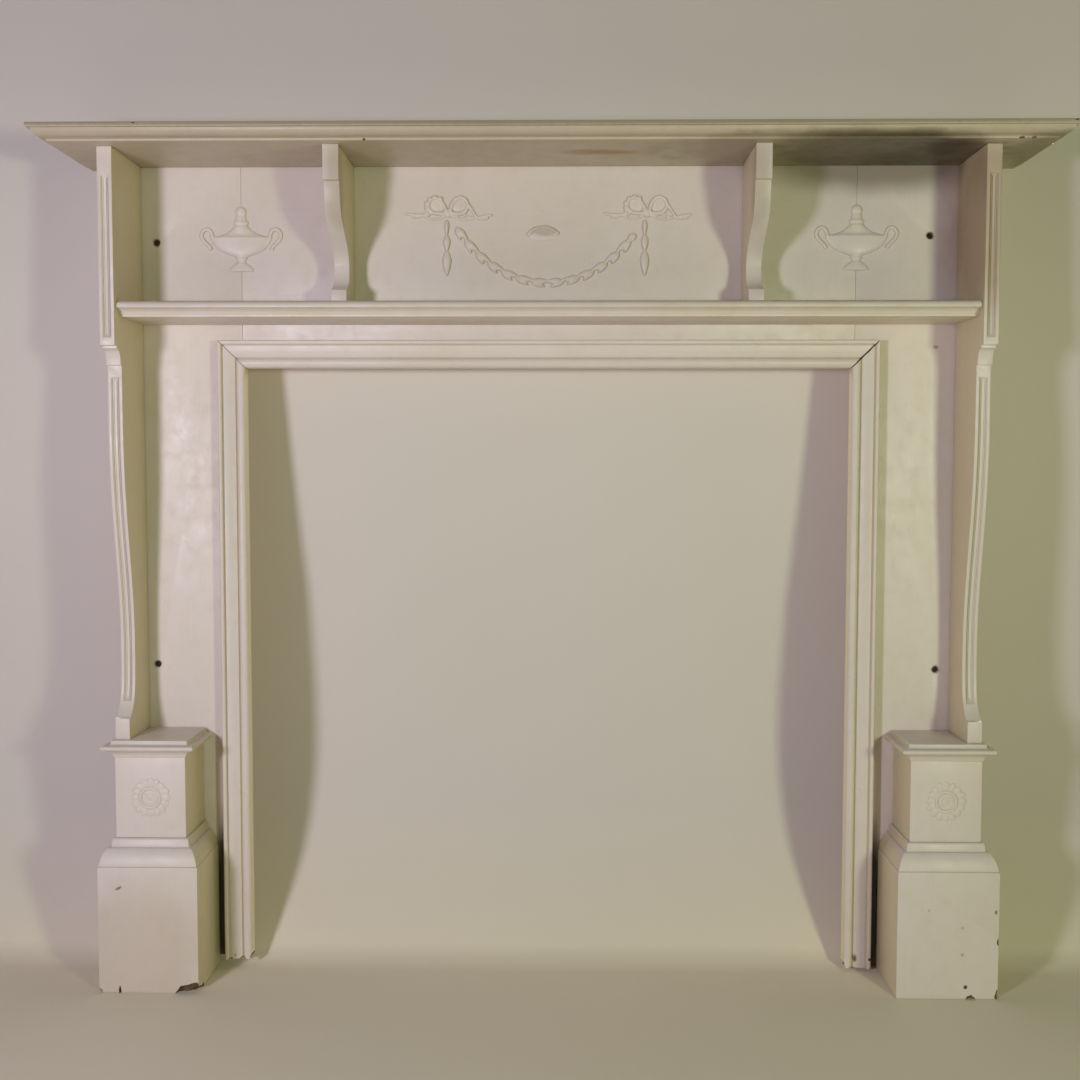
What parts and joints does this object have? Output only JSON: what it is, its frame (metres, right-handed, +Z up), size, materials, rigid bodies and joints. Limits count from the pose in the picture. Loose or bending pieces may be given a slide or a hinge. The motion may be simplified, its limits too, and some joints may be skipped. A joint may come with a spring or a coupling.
{
  "type": "fireplace mantelpiece",
  "caption": "Cream-painted wooden fire surround with overmantel shelf, niches, shaped side panels, square plinths and low-relief urns, bows and a husk garland.",
  "frame": {"origin": "floor level, at the middle of the overall width and the middle of the overall depth", "axes": "+Z up, +X to the viewer's right when facing the fire, +Y towards the wall behind, so the front faces -Y"},
  "size_m": [1.527, 0.2094, 1.318],
  "materials": {
    "painted_shelf": "aged cream gloss paint with soot and a rust-brown stain",
    "painted_board": "aged cream gloss paint, brushed by hand",
    "painted_architrave": "aged cream gloss paint, open mitres and chipped feet",
    "painted_plinth": "aged cream gloss paint, knocked corners showing bare pine",
    "painted_ornament": "moulded composition ornament softened by many coats of cream paint"
  },
  "bodies": {
    "root": {"mantelshelf": "painted_shelf", "frieze_board": "painted_board", "jamb_board_left": "painted_board", "jamb_board_right": "painted_board", "side_panel_left": "painted_board", "side_panel_right": "painted_board", "bracket_left": "painted_board", "bracket_right": "painted_board", "lower_shelf": "painted_shelf", "architrave_head": "painted_architrave", "architrave_left": "painted_architrave", "architrave_right": "painted_architrave", "plinth_base_left": "painted_plinth", "plinth_base_right": "painted_plinth", "plinth_moulding_left": "painted_plinth", "plinth_moulding_right": "painted_plinth", "plinth_die_left": "painted_plinth", "plinth_die_right": "painted_plinth", "plinth_cap_left": "painted_plinth", "plinth_cap_right": "painted_plinth", "urn_left": "painted_ornament", "urn_right": "painted_ornament", "bow_left": "painted_ornament", "bow_right": "painted_ornament", "husk_drop_left": "painted_ornament", "husk_drop_right": "painted_ornament", "husk_garland": "painted_ornament", "medallion": "painted_ornament", "rosette_left": "painted_ornament", "rosette_right": "painted_ornament"}
  },
  "joints": []
}
